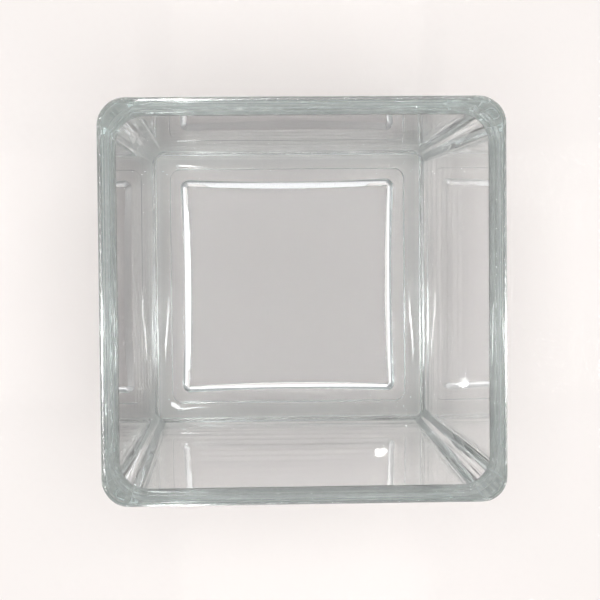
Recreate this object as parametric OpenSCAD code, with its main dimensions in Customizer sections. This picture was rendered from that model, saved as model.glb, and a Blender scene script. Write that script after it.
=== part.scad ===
// Square pressed-glass specimen jar with a loose plate-glass cover on a thin clear gasket.
// Millimetres, +Z up, origin at the middle of the foot.

/* [Jar] */
// Width of the jar across its rim, both ways
jar_w = 100; // [80:1:130]
// Height of the jar from its foot to its rim
jar_h = 125; // [90:1:160]
// Thickness of the glass at the rim
rim_t = 4.7; // [4:0.1:6]
// Radius of the upright outside corners at the rim
corner_r = 7; // [6:0.5:9]
// How far each outside wall leans in between rim and foot
draft_out = 3.5; // [2:0.1:3.8]
// How far each inside wall leans in between rim and floor
draft_in = 3.6; // [2:0.1:4]
// Thickness of the floor at its middle, above the recess
floor_t = 6.8; // [6:0.2:12]
// Radius of the fillet where the walls run into the floor
fillet_r = 5.5; // [4:0.5:8]
// Radius of the rounded edge around the foot, no more than the upright corners have there
heel_r = 1.5; // [1:0.1:3]
// Radius of the rim's outer edge
lip_out_r = 2; // [1:0.1:2.4]
// Radius of the rim's inner edge
lip_in_r = 1.2; // [0.6:0.1:1.5]

/* [Recess under the floor] */
// Width of the foot ring that the jar stands on, with the rounded edge around it
foot_w = 9; // [7:0.5:12]
// Width of the shallow ledge between the foot ring and the recess
ledge_w = 3.5; // [2:0.5:5]
// Depth of the ledge
ledge_d = 0.3; // [0.2:0.05:0.5]
// Radius of the ledge's corners at the foot ring
ledge_r = 4; // [2:0.5:6]
// Height of the recess's roof above the foot
recess_d = 2.7; // [1.5:0.1:2.7]
// Radius of the recess's corners at the ledge
recess_r = 3; // [3:0.5:5]
// Angle of the recess's sides from the level
recess_slope = 45; // [45:1:80]

/* [Cover] */
// Thickness of the cover plate
plate_t = 3; // [2:0.5:5]
// Width of the bevel along the cover plate's edges
bevel = 0.6; // [0.3:0.1:1]
// How far the cover plate's edge stands back from the rim's outer edge
plate_setback = 1; // [0.8:0.1:2]

/* [Gasket] */
// Width of the gasket
seal_w = 1.4; // [1:0.1:1.5]
// Thickness of the gasket
seal_t = 0.8; // [0.4:0.1:1.2]

/* [Hidden] */
$fn = 96;

half = jar_w / 2;
floor_z = recess_d + floor_t;
mouth_half = half - rim_t;
depth = jar_h - floor_z;
// Half the width of the square whose corners are the centres of the outside corner arcs
core = half - corner_r;
// The same for the inside, whose corners keep the outside radius and so thicken the glass there
mouth_core = mouth_half - corner_r;
heel = min(heel_r, corner_r - draft_out);
ledge_half = half - draft_out - foot_w;
recess_half = ledge_half - ledge_w;
ledge_slope = 45;
// Angles of the walls from the vertical
lean_out = atan(draft_out / jar_h);
lean_in = atan(draft_in / depth);
// Cutters run this far past the faces they cut
past = 1;
arc_steps = 12;

// Points of an arc about [x, y] from angle a0 to angle a1
function arc(x, y, r, a0, a1) =
    [for (i = [0 : arc_steps]) let (a = a0 + (a1 - a0) * i / arc_steps) [x + r * cos(a), y + r * sin(a)]];

// Half-width of the outside and of the inside at height z, before their edges are rounded
function outside_at(z) = half - draft_out * (jar_h - z) / jar_h;
function inside_at(z) = mouth_half - draft_in * (jar_h - z) / depth;

// Square solid with rounded upright corners: a half-profile, drawn from x = 0, is turned about the
// four corners of a core square and drawn out along its sides
module square_sweep(core_half, z0, z1) {
    for (turn = [0 : 90 : 270])
        rotate(turn) {
            translate([core_half, core_half, 0]) rotate_extrude(angle = 90) children();
            translate([core_half, core_half, 0])
                rotate([90, 0, 0]) linear_extrude(2 * core_half) children();
        }
    translate([-core_half, -core_half, z0]) cube([2 * core_half, 2 * core_half, z1 - z0]);
}

// Half-profile of the outside, measured outwards from the core square
module outside_profile() {
    heel_x = outside_at(heel) - heel / cos(lean_out) - core;
    lip_z = jar_h - lip_out_r;
    lip_x = outside_at(lip_z) - lip_out_r / cos(lean_out) - core;
    polygon(concat(
        [[0, 0]],
        arc(heel_x, heel, heel, -90, -lean_out),
        arc(lip_x, lip_z, lip_out_r, -lean_out, 90),
        [[0, jar_h]]
    ));
}

// Half-profile of the inside without its fillet, which opens out at the lip and runs past the rim
module inside_profile() {
    lip_z = jar_h - lip_in_r;
    lip_x = inside_at(lip_z) + lip_in_r / cos(lean_in) - mouth_core;
    polygon(concat(
        [[0, floor_z], [inside_at(floor_z) - mouth_core, floor_z]],
        arc(lip_x, lip_z, lip_in_r, 180 - lean_in, 90),
        [[lip_x, jar_h + past], [0, jar_h + past]]
    ));
}

// Cross-section that holds the fillets along the floor and is wide above them
module filleted_section() {
    fillet_z = floor_z + fillet_r;
    fillet_x = inside_at(fillet_z) - fillet_r / cos(lean_in);
    right = concat(
        arc(fillet_x, fillet_z, fillet_r, -90, -lean_in),
        [[half, fillet_z], [half, jar_h + 2 * past]]
    );
    left = [for (i = [len(right) - 1 : -1 : 0]) [-right[i][0], right[i][1]]];
    polygon(concat(right, left));
}

module filleted_bar() {
    rotate([90, 0, 0]) linear_extrude(jar_w, center = true) filleted_section();
}

// Room inside the jar: the leaning walls and lip, narrowed towards the floor by fillets that meet
// in mitres at the four corners
module inside() {
    intersection() {
        square_sweep(mouth_core, floor_z, jar_h + past) inside_profile();
        filleted_bar();
        rotate(90) filleted_bar();
    }
}

// Square cut between heights z0 and z1, with sides at that slope from the level. At z0 its half-width
// is half_w and its corners have radius r.
module sloped_cut(half_w, r, z0, z1, slope) {
    run = (z1 - z0) / tan(slope);
    square_sweep(half_w - r, z0 - past, z1)
        polygon([[0, z0 - past], [r, z0 - past], [r, z0], [r - run, z1], [0, z1]]);
}

module jar_body() {
    color([0.78, 0.84, 0.82, 0.45]) difference() {
        square_sweep(core, 0, jar_h) outside_profile();
        inside();
        sloped_cut(ledge_half, ledge_r, 0, ledge_d, ledge_slope);
        sloped_cut(recess_half, recess_r, ledge_d, recess_d, recess_slope);
    }
}

// Flat frame that lies on the flat of the rim
module seal_ring() {
    // Middle of the flat between the two lips
    middle = (inside_at(jar_h) + lip_in_r + half - lip_out_r) / 2;
    color([0.85, 0.87, 0.86, 0.6]) translate([0, 0, jar_h]) difference() {
        square_sweep(mouth_core, 0, seal_t) square([middle + seal_w / 2 - mouth_core, seal_t]);
        square_sweep(mouth_core, -past, seal_t + past)
            translate([0, -past]) square([middle - seal_w / 2 - mouth_core, seal_t + 2 * past]);
    }
}

module cover_plate() {
    edge = corner_r - plate_setback;
    color([0.82, 0.88, 0.86, 0.4]) translate([0, 0, jar_h + seal_t])
        square_sweep(core, 0, plate_t)
            polygon([
                [0, 0], [edge - bevel, 0], [edge, bevel],
                [edge, plate_t - bevel], [edge - bevel, plate_t], [0, plate_t]
            ]);
}

jar_body();
seal_ring();
cover_plate();
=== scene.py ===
"""Looks of the square glass specimen jar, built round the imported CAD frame. Lengths are metres."""

import math

import bpy
from mathutils import Matrix, Vector, noise


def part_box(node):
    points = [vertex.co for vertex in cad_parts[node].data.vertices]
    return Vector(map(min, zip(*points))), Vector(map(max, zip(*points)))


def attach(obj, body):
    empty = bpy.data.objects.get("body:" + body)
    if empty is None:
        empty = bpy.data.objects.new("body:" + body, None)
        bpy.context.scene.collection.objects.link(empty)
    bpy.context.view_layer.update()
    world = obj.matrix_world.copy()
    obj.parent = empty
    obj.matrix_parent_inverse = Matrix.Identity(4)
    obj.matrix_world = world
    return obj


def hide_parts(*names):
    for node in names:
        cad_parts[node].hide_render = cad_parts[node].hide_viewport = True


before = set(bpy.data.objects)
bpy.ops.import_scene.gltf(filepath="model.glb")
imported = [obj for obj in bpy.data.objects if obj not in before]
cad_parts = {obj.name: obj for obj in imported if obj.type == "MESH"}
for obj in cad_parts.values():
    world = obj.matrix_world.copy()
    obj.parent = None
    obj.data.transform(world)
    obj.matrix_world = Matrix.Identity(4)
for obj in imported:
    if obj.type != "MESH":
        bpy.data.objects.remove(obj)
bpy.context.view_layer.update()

MM = 0.001
JAR_HI = Vector(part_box("jar_body")[1])
SEAL_LO, SEAL_HI = (Vector(v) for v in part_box("seal_ring"))
PLATE_LO, PLATE_HI = (Vector(v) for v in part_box("cover_plate"))

# The jar's section, in the CAD's sizes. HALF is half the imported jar's width, which the rounded lip
# leaves 0.06 mm short of the half-width that the CAD starts from.
HALF = JAR_HI.x
RIM_Z = JAR_HI.z
RIM_T = 4.7 * MM
CORNER_R = 7.0 * MM
DRAFT_OUT = 3.5 * MM
DRAFT_IN = 3.6 * MM
FLOOR_Z = 9.5 * MM
FILLET_R = 5.5 * MM
HEEL_R = 1.5 * MM
LIP_OUT_R = 2.0 * MM
LIP_IN_R = 1.2 * MM
# The recess under the floor, from its roof to the shallow ledge and the foot ring round it
LEDGE_HALF = 37.5 * MM
LEDGE_D = 0.3 * MM
LEDGE_R = 4.0 * MM
LEDGE_SLOPE = math.radians(45)
RECESS_HALF = 34.0 * MM
RECESS_D = 2.7 * MM
RECESS_R = 3.0 * MM
RECESS_SLOPE = math.radians(45)

# What the CAD leaves plainer: edges and corners that are sharp there, and sides that are straight
LEDGE_EDGE_R = 0.25 * MM
RECESS_EDGE_R = 0.8 * MM
RECESS_BOW = 1.0 * MM
FLOOR_CORNER_R = 3.2 * MM
# Least radius of the outside's upright corners, which falls to 2 mm at the CAD's heel
HEEL_CORNER_R = 3.0 * MM
# Width of the flat strip of foot next to each edge of it
FOOT_STRIP = 0.4 * MM
# The fine groove at the fillet's foot: place, as a share of the floor's half-width, and depth
GROOVE = ((0.995, 0.03 * MM), (0.985, 0.05 * MM), (0.975, 0.03 * MM), (0.96, 0.0))
# Heights of the waves in the pressed surface
SAG = 0.020 * MM
CHILL_HIGH = 0.002 * MM
CHILL_LOW = 0.026 * MM
FOLD = 0.09 * MM
# Lengths of their features, around the jar and up it
SAG_LENGTHS = (90 * MM, 60 * MM)
CHILL_LENGTHS = (160 * MM, 2.4 * MM)
FOLD_LENGTHS = (0.9 * MM, 45 * MM)
# The waves die away over these heights above the foot and below the rim, and on the way down the
# inside fillet they lose this share
FOOT_CALM = 3.0 * MM
RIM_CALM = 1.2 * MM
FILLET_CALM = 0.6
# Chill marks are at their full height below the first of these and at their least above the second
CHILL_FULL, CHILL_LEAST = 16 * MM, 60 * MM
# Folds start and are full where |x| / |y|, or the inverse where that is smaller, has these values.
# It is 1 on a corner's diagonal.
FOLD_START, FOLD_FULL = 0.86, 0.97

PLATE_BEVEL = 0.6 * MM
PLATE_ARRIS = 0.12 * MM
SEAL_W = 1.4 * MM
SEAL_EDGE_R = 0.25 * MM
# Dry contact between gasket and glass, so that the faces aren't coincident
CONTACT_GAP = 0.01 * MM

CORE = HALF - CORNER_R
MOUTH_HALF = HALF - RIM_T
MOUTH_CORE = MOUTH_HALF - CORNER_R
DEPTH = RIM_Z - FLOOR_Z
LEAN_OUT = math.atan(DRAFT_OUT / RIM_Z)
LEAN_IN = math.atan(DRAFT_IN / DEPTH)

# Mesh density: steps per rounded corner, per straight side, per arc of a profile and up a wall
CORNER_STEPS = 48
SIDE_STEPS = 40
ARC_STEPS = 24
WALL_ROWS = 60

# Brightness of the studio's light from all round
SKY = 2.8


def outside_at(z):
    return HALF - DRAFT_OUT * (RIM_Z - z) / RIM_Z


def inside_at(z):
    return MOUTH_HALF - DRAFT_IN * (RIM_Z - z) / DEPTH


def arc(x, z, r, a0, a1, steps=ARC_STEPS):
    """Points [x, z] of an arc from angle a0 to a1, in radians."""
    angles = [a0 + (a1 - a0) * i / steps for i in range(steps + 1)]
    return [(x + r * math.cos(a), z + r * math.sin(a)) for a in angles]


def between(a, b, steps):
    """The points strictly between a and b, crowded towards both ends."""
    return [a + (b - a) * (0.5 - 0.5 * math.cos(math.pi * i / steps)) for i in range(1, steps)]


def ring(half, r, z):
    """Points of a rounded square of that half-width and corner radius, at height z."""
    r = min(max(r, 0.01 * MM), half)
    c = half - r
    quarter = arc(c, c, r, 0, math.pi / 2, CORNER_STEPS)
    quarter += [(x, half) for x in between(c, -c, SIDE_STEPS)]
    points = []
    for turn in range(4):
        cos, sin = math.cos(turn * math.pi / 2), math.sin(turn * math.pi / 2)
        points += [Vector((x * cos - y * sin, x * sin + y * cos, z)) for x, y in quarter]
    return points


def loft(name, rings, closed):
    """One mesh through rings of equal length.

    closed joins the last ring to the first, else both ends are capped.
    """
    n = len(rings[0])
    verts = [p for points in rings for p in points]
    faces = []
    for j in range(len(rings) if closed else len(rings) - 1):
        below, above = j * n, (j + 1) % len(rings) * n
        faces += [(below + i, below + (i + 1) % n, above + (i + 1) % n, above + i) for i in range(n)]
    if not closed:
        faces.append(tuple(reversed(range(n))))
        faces.append(tuple(range((len(rings) - 1) * n, len(rings) * n)))
    mesh = bpy.data.meshes.new(name)
    mesh.from_pydata(verts, [], faces)
    mesh.validate()
    mesh.shade_smooth()
    piece = bpy.data.objects.new(name, mesh)
    bpy.context.scene.collection.objects.link(piece)
    return piece


# ---------------------------------------------------------------- jar


def smooth_step(a, b, x):
    t = min(max((x - a) / (b - a), 0.0), 1.0)
    return t * t * (3 - 2 * t)


def ripple(around, z, lengths, seed):
    """Smooth noise with features of these lengths, around the jar and up it."""
    return noise.noise(Vector((around / lengths[0], z / lengths[1], seed)))


def wave(p, side):
    """How far the pressed surface stands off its true place.

    It sags broadly, has chill marks like a washboard low down, and folds in the corners.
    """
    # Roughly the distance travelled around the walls
    around = math.atan2(p.y, p.x) * HALF * 1.3
    diagonal = min(abs(p.x), abs(p.y)) / max(abs(p.x), abs(p.y), 1e-9)
    corner = smooth_step(FOLD_START, FOLD_FULL, diagonal)
    seed = 11.0 * side
    low = 1 - smooth_step(CHILL_FULL, CHILL_LEAST, p.z)
    sag = ripple(around, p.z, SAG_LENGTHS, seed)
    chill = ripple(around, p.z, CHILL_LENGTHS, seed + 5.3)
    fold = ripple(around, p.z, FOLD_LENGTHS, seed + 8.1)
    return SAG * sag + (CHILL_HIGH + CHILL_LOW * low) * chill + FOLD * corner * fold


def waved(points, side, weight):
    """The ring with its points moved in or out by the wave."""
    out = []
    for p in points:
        outward = Vector((p.x, p.y, 0))
        flat = abs(abs(p.x) - abs(p.y)) > CORNER_R
        if flat and abs(p.x) > abs(p.y):
            outward.y = 0
        elif flat:
            outward.x = 0
        out.append(p + outward.normalized() * wave(p, side) * weight)
    return out


def bowed(points, half, amount):
    """The recess ring with its sides drawn in by that amount at their middles."""
    out = []
    for p in points:
        q = p.copy()
        if abs(p.x) >= abs(p.y):
            q.x -= math.copysign(amount * (1 - (p.y / half) ** 2), p.x)
        else:
            q.y -= math.copysign(amount * (1 - (p.x / half) ** 2), p.y)
        out.append(q)
    return out


def step_down(x, z0, z1, slope, r):
    """Section of a side that falls at that slope from height z1 to z0, which it reaches at x.

    Both its edges are rounded.
    """
    top, down = math.pi / 2, -math.pi / 2
    tangent = r * math.tan(slope / 2)
    head = x - (z1 - z0) / math.tan(slope)
    upper = arc(head - tangent, z1 - r, r, top, top - slope, 8)
    return upper + arc(x + tangent, z0 + r, r, down - slope, down, 8)


def recess_corner(x, roof):
    """Corner radius of the recess's ring of that half-width."""
    if x >= RECESS_HALF:
        return RECESS_R + (LEDGE_R - RECESS_R) * (x - RECESS_HALF) / (LEDGE_HALF - RECESS_HALF)
    if x >= roof:
        return RECESS_R - (RECESS_HALF - x)
    return (RECESS_R - (RECESS_HALF - roof)) * x / roof


def recess_rings():
    """From the middle of the recess's roof, down its sides, across the ledge and on to the foot."""
    roof = RECESS_HALF - (RECESS_D - LEDGE_D) / math.tan(RECESS_SLOPE)
    section = [(roof * t, RECESS_D) for t in (0.02, 0.25, 0.5, 0.75, 0.9, 0.97)]
    section += step_down(RECESS_HALF, LEDGE_D, RECESS_D, RECESS_SLOPE, RECESS_EDGE_R)
    section += step_down(LEDGE_HALF, 0.0, LEDGE_D, LEDGE_SLOPE, LEDGE_EDGE_R)
    section.append((LEDGE_HALF + FOOT_STRIP, 0.0))
    rings = []
    for x, z in section:
        bow = RECESS_BOW * min(1.0, x / roof) * (1 - smooth_step(RECESS_HALF, LEDGE_HALF, x))
        rings.append(bowed(ring(x, recess_corner(x, roof), z), x, bow))
    return rings


def outside_rings():
    heel_x = outside_at(HEEL_R) - HEEL_R / math.cos(LEAN_OUT)
    lip_z = RIM_Z - LIP_OUT_R
    lip_x = outside_at(lip_z) - LIP_OUT_R / math.cos(LEAN_OUT)
    heel = arc(heel_x, HEEL_R, HEEL_R, -math.pi / 2, -LEAN_OUT)
    lip = arc(lip_x, lip_z, LIP_OUT_R, -LEAN_OUT, math.pi / 2)
    wall = [(outside_at(z), z) for z in between(heel[-1][1], lip[0][1], WALL_ROWS)]
    section = [(heel_x - FOOT_STRIP, 0.0)] + heel + wall + lip
    rings = []
    for x, z in section:
        weight = smooth_step(0, FOOT_CALM, z) * smooth_step(0, RIM_CALM, RIM_Z - z)
        rings.append(waved(ring(x, max(x - CORE, HEEL_CORNER_R), z), 1, weight))
    return rings


def inside_rings():
    lip_z = RIM_Z - LIP_IN_R
    lip_x = inside_at(lip_z) + LIP_IN_R / math.cos(LEAN_IN)
    fillet_z = FLOOR_Z + FILLET_R
    fillet_x = inside_at(fillet_z) - FILLET_R / math.cos(LEAN_IN)
    lip = arc(lip_x, lip_z, LIP_IN_R, math.pi / 2, math.pi - LEAN_IN)
    fillet = arc(fillet_x, fillet_z, FILLET_R, -LEAN_IN, -math.pi / 2)
    wall = [(inside_at(z), z) for z in between(lip[-1][1], fillet[0][1], WALL_ROWS)]
    rings = []
    for x, z in lip + wall:
        weight = smooth_step(0, RIM_CALM, RIM_Z - z)
        rings.append(waved(ring(x, x - MOUTH_CORE, z), 2, weight))
    top_r = inside_at(fillet_z) - MOUTH_CORE
    for i, (x, z) in enumerate(fillet):
        t = i / (len(fillet) - 1)
        corner_r = top_r + (FLOOR_CORNER_R - top_r) * t
        rings.append(waved(ring(x, corner_r, z), 2, 1 - FILLET_CALM * t))
    flat = tuple((t, 0.0) for t in (0.9, 0.6, 0.3, 0.02))
    for t, dip in GROOVE + flat:
        rings.append(ring(fillet_x * t, FLOOR_CORNER_R * t, FLOOR_Z - dip))
    return rings


def jar():
    piece = loft("jar_glass", recess_rings() + outside_rings() + inside_rings(), closed=False)
    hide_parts("jar_body")
    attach(piece, "jar")
    return piece


# ---------------------------------------------------------------- gasket and cover


def gasket():
    outer, inner = SEAL_HI.x, SEAL_HI.x - SEAL_W
    bottom, top = SEAL_LO.z + CONTACT_GAP, SEAL_HI.z - CONTACT_GAP
    r = SEAL_EDGE_R
    quarter = math.pi / 2
    section = arc(inner + r, bottom + r, r, 2 * quarter, 3 * quarter, 6)
    section += arc(outer - r, bottom + r, r, -quarter, 0, 6)
    section += arc(outer - r, top - r, r, 0, quarter, 6)
    section += arc(inner + r, top - r, r, quarter, 2 * quarter, 6)
    piece = loft("gasket", [ring(x, x - MOUTH_CORE, z) for x, z in section], closed=True)
    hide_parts("seal_ring")
    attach(piece, "jar")
    return piece


def cover():
    half, low, high = PLATE_HI.x, PLATE_LO.z, PLATE_HI.z
    face = half - PLATE_BEVEL
    corners = [(face, low), (half, low + PLATE_BEVEL), (half, high - PLATE_BEVEL), (face, high)]
    shares = (0.02, 0.3, 0.6, 0.85, 0.97)
    section = [(face * t, low) for t in shares]
    for i, (x, z) in enumerate(corners):
        section += arris(x, z, math.radians(45 * i), math.radians(45 * (i + 1)))
    section += [(face * t, high) for t in reversed(shares)]
    piece = loft("cover_glass", [ring(x, plate_corner(x), z) for x, z in section], closed=False)
    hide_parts("cover_plate")
    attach(piece, "cover")
    return piece


def plate_corner(x):
    """Corner radius of the cover's ring of that half-width."""
    return x - CORE if x > CORE + MM else MM * x / CORE


def arris(x, z, before, after):
    """A finely rounded edge at [x, z], between faces that leave the level by these angles."""
    r = PLATE_ARRIS
    mid = (before + after) / 2
    reach = r / math.cos((after - before) / 2)
    cx = x - reach * math.sin(mid)
    cz = z + reach * math.cos(mid)
    return arc(cx, cz, r, before - math.pi / 2, after - math.pi / 2, 4)


# ---------------------------------------------------------------- materials


def node_tree(name):
    material = bpy.data.materials.new(name)
    material.use_nodes = True
    tree = material.node_tree
    return material, tree, tree.nodes["Principled BSDF"]


def noise_node(tree, scale, detail=3.0, stretch=(1, 1, 1)):
    """A noise texture on the piece's own coordinates."""
    place = tree.nodes.new("ShaderNodeTexCoord")
    mapping = tree.nodes.new("ShaderNodeMapping")
    mapping.inputs["Scale"].default_value = stretch
    texture = tree.nodes.new("ShaderNodeTexNoise")
    texture.inputs["Scale"].default_value = scale
    texture.inputs["Detail"].default_value = detail
    tree.links.new(place.outputs["Object"], mapping.inputs["Vector"])
    tree.links.new(mapping.outputs["Vector"], texture.inputs["Vector"])
    return texture


def map_range(tree, source, low, high, to_low, to_high):
    node = tree.nodes.new("ShaderNodeMapRange")
    for socket, value in (("From Min", low), ("From Max", high), ("To Min", to_low), ("To Max", to_high)):
        node.inputs[socket].default_value = value
    tree.links.new(source, node.inputs["Value"])
    return node.outputs["Result"]


def math_node(tree, operation, a, b):
    node = tree.nodes.new("ShaderNodeMath")
    node.operation = operation
    for socket, value in zip(node.inputs, (a, b)):
        if isinstance(value, (int, float)):
            socket.default_value = value
        else:
            tree.links.new(value, socket)
    return node.outputs[0]


def ramp(tree, source, stops):
    """Grey levels at these positions, eased between."""
    node = tree.nodes.new("ShaderNodeValToRGB")
    node.color_ramp.interpolation = "EASE"
    elements = node.color_ramp.elements
    while len(elements) < len(stops):
        elements.new(0.5)
    for element, (position, level) in zip(elements, stops):
        element.position = position
        element.color = (level, level, level, 1)
    tree.links.new(source, node.inputs["Fac"])
    return node.outputs["Color"]


def bump(tree, shader, height, distance, strength):
    node = tree.nodes.new("ShaderNodeBump")
    node.inputs["Distance"].default_value = distance
    node.inputs["Strength"].default_value = strength
    tree.links.new(height, node.inputs["Height"])
    tree.links.new(node.outputs["Normal"], shader.inputs["Normal"])


def clear_body(tree, shader, ior, tint, density):
    """Makes the shader a clear solid, whose tint deepens with the length looked through."""
    shader.inputs["Base Color"].default_value = (1, 1, 1, 1)
    shader.inputs["Transmission Weight"].default_value = 1.0
    shader.inputs["IOR"].default_value = ior
    volume = tree.nodes.new("ShaderNodeVolumeAbsorption")
    volume.inputs["Color"].default_value = (*tint, 1)
    volume.inputs["Density"].default_value = density
    tree.links.new(volume.outputs["Volume"], tree.nodes["Material Output"].inputs["Volume"])


def height_above(tree):
    """The height of the shaded point in the piece."""
    place = tree.nodes.new("ShaderNodeTexCoord")
    split = tree.nodes.new("ShaderNodeSeparateXYZ")
    tree.links.new(place.outputs["Object"], split.inputs["Vector"])
    return split.outputs["Z"]


def pressed_glass():
    material, tree, shader = node_tree("pressed_glass")
    clear_body(tree, shader, 1.51, (0.81, 0.88, 0.87), 10.0)
    # Scuffed on the foot, less so by the ledge's height and not at all 0.6 mm up. The rest is
    # fire-polished, with faint smears.
    scuff = map_range(tree, height_above(tree), 0.05 * MM, 0.6 * MM, 0.22, 0.0)
    patches = noise_node(tree, 260, 4.0)
    worn = math_node(tree, "MULTIPLY", scuff, patches.outputs["Fac"])
    smear = noise_node(tree, 45, 5.0, (1, 1, 0.4))
    film = map_range(tree, smear.outputs["Fac"], 0.58, 0.8, 0.0, 0.02)
    tree.links.new(math_node(tree, "ADD", worn, film), shader.inputs["Roughness"])
    skin = noise_node(tree, 700, 2.0, (1, 1, 0.12))
    bump(tree, shader, skin.outputs["Fac"], 0.004 * MM, 0.5)
    return material


def plate_glass():
    material, tree, shader = node_tree("plate_glass")
    clear_body(tree, shader, 1.52, (0.78, 0.90, 0.86), 9.0)
    smear = noise_node(tree, 30, 5.0)
    film = map_range(tree, smear.outputs["Fac"], 0.6, 0.85, 0.0, 0.015)
    tree.links.new(film, shader.inputs["Roughness"])
    skin = noise_node(tree, 300, 2.0)
    bump(tree, shader, skin.outputs["Fac"], 0.001 * MM, 0.4)
    return material


def clear_silicone():
    material, tree, shader = node_tree("clear_silicone")
    clear_body(tree, shader, 1.41, (0.86, 0.88, 0.86), 60.0)
    grain = noise_node(tree, 900, 4.0)
    tree.links.new(map_range(tree, grain.outputs["Fac"], 0.3, 0.7, 0.08, 0.22), shader.inputs["Roughness"])
    bump(tree, shader, grain.outputs["Fac"], 0.01 * MM, 0.5)
    return material


def pale_floor():
    material, tree, shader = node_tree("pale_floor")
    speckle = noise_node(tree, 3.0, 6.0)
    colours = tree.nodes.new("ShaderNodeValToRGB")
    colours.color_ramp.elements[0].color = (0.84, 0.795, 0.77, 1)
    colours.color_ramp.elements[1].color = (0.87, 0.825, 0.80, 1)
    tree.links.new(speckle.outputs["Fac"], colours.inputs["Fac"])
    tree.links.new(colours.outputs["Color"], shader.inputs["Base Color"])
    shader.inputs["Roughness"].default_value = 0.95
    shader.inputs["Specular IOR Level"].default_value = 0.1
    return material


# ---------------------------------------------------------------- stage, light and camera


def floor():
    size, drop = 20.0, 0.05 * MM
    mesh = bpy.data.meshes.new("floor")
    corners = [(x * size, y * size, -drop) for x, y in ((-1, -1), (1, -1), (1, 1), (-1, 1))]
    mesh.from_pydata(corners, [], [(0, 1, 2, 3)])
    obj = bpy.data.objects.new("floor", mesh)
    bpy.context.scene.collection.objects.link(obj)
    mesh.materials.append(pale_floor())
    return obj


def studio_world():
    """Soft light from all round, brighter from the front.

    It is dim half-way up, brighter overhead, and brightest in four low banks that face the walls.
    """
    world = bpy.data.worlds.new("studio")
    bpy.context.scene.world = world
    world.use_nodes = True
    tree = world.node_tree
    place = tree.nodes.new("ShaderNodeTexCoord")
    split = tree.nodes.new("ShaderNodeSeparateXYZ")
    tree.links.new(place.outputs["Generated"], split.inputs["Vector"])
    x, y, z = split.outputs
    overhead = ((0.0, 0.06), (0.3, 0.07), (0.5, 0.072), (0.7, 0.1), (0.86, 0.19), (1.0, 0.22))
    high = ramp(tree, z, overhead)
    low = ramp(tree, z, ((0.0, 0.40), (0.1, 0.38), (0.2, 0.24), (0.3, 0.05), (0.4, 0.0)))
    # One where the sky faces a wall squarely, nought on the diagonals
    xx, yy = math_node(tree, "MULTIPLY", x, x), math_node(tree, "MULTIPLY", y, y)
    across = math_node(tree, "SUBTRACT", xx, yy)
    around = math_node(tree, "ADD", xx, yy)
    facing = math_node(tree, "ABSOLUTE", math_node(tree, "DIVIDE", across, around), 0)
    banks = map_range(tree, facing, 0.5, 0.92, 0.3, 1.0)
    level = math_node(tree, "ADD", high, math_node(tree, "MULTIPLY", low, banks))
    level = math_node(tree, "MULTIPLY", level, map_range(tree, y, -1.0, 1.0, 1.6, 0.8))
    tree.links.new(level, tree.nodes["Background"].inputs["Strength"])
    tree.nodes["Background"].inputs["Color"].default_value = (SKY, SKY, SKY * 1.01, 1)


def only_for(lamp, pieces):
    """Links the lamp so that it lights these pieces alone."""
    group = bpy.data.collections.new(lamp.name + "_lights")
    for piece in pieces:
        group.objects.link(piece)
    lamp.light_linking.receiver_collection = group


def lamp(name, place, width, height, radiance, pieces):
    """A rectangular lamp facing the jar. Its radiance sets how bright it looks, whatever its size."""
    data = bpy.data.lights.new(name, "AREA")
    data.shape = "RECTANGLE"
    data.size, data.size_y = width, height
    data.energy = radiance * math.pi * width * height
    obj = bpy.data.objects.new(name, data)
    bpy.context.scene.collection.objects.link(obj)
    obj.location = place
    obj.rotation_euler = (Vector((0, 0, RIM_Z / 2)) - Vector(place)).to_track_quat("-Z", "Y").to_euler()
    only_for(obj, pieces)
    return obj


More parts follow.
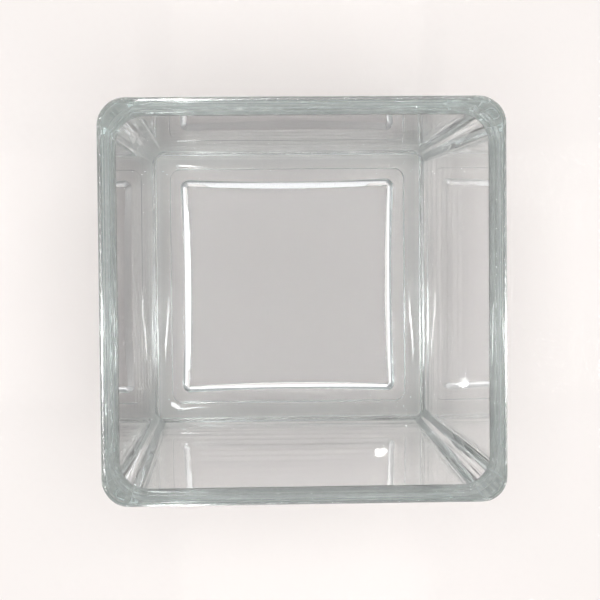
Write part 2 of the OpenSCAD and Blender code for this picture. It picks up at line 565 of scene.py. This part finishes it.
def lights(glass, table):
    lamp("table_light", (0, 0, 2.0), 1.2, 1.2, 6.5, [table])
    # Tall narrow lamps, that put short glints on the fillets and lips
    across, out, up = 0.09, 0.8, 1.0
    sides = {
        "back": (-across, out),
        "front": (-across, -out),
        "right": (out, -across),
        "left": (-out, -across),
    }
    for name, (x, y) in sides.items():
        lamp("glint_" + name, (x, y, up), 0.02, 0.7, 25.0, glass)
    # Small lamps high up, that the walls and floor mirror between them
    lamp("spark_right_wall", (-0.28, -0.176, 1.5), 0.013, 0.007, 60.0, glass)
    lamp("spark_front_wall", (0.164, 0.272, 1.5), 0.013, 0.007, 60.0, glass)
    lamp("spark_back_wall", (-0.085, -0.172, 1.5), 0.010, 0.004, 9.0, glass)


def camera():
    """Almost straight above the mouth, leaning a little, so that two inner walls show more."""
    lens, distance = 96.0, 0.389
    lean_x, lean_y, roll = math.radians(2.26), math.radians(2.40), math.radians(0.5)
    aim = Vector((-1.03 * MM, 0.43 * MM, RIM_Z))
    forward = Vector((math.tan(lean_x), -math.tan(lean_y), -1)).normalized()
    right = Vector((0, 1, 0)).cross(-forward).normalized()
    up = (-forward).cross(right)
    turn = Matrix((right, up, -forward)).transposed() @ Matrix.Rotation(-roll, 3, "Z")
    data = bpy.data.cameras.new("camera")
    data.lens = lens
    data.sensor_width = 36.0
    data.clip_start = 0.01
    obj = bpy.data.objects.new("camera", data)
    obj.matrix_world = Matrix.Translation(aim - forward * distance) @ turn.to_4x4()
    bpy.context.scene.collection.objects.link(obj)
    bpy.context.scene.camera = obj


def light_paths():
    """Enough bounces for light that runs down inside the walls, and no blur on what glass throws."""
    scene = bpy.context.scene
    scene.view_settings.view_transform = "Standard"
    scene.cycles.max_bounces = 32
    scene.cycles.transmission_bounces = 32
    scene.cycles.glossy_bounces = 16
    scene.cycles.diffuse_bounces = 4
    scene.cycles.blur_glossy = 0.0
    scene.cycles.sample_clamp_indirect = 0.0
    scene.cycles.use_denoising = True


pieces = (jar(), gasket(), cover())
for piece, material in zip(pieces, (pressed_glass(), clear_silicone(), plate_glass())):
    piece.data.materials.append(material)
camera()
studio_world()
lights(pieces, floor())
light_paths()

bpy.context.view_layer.update()
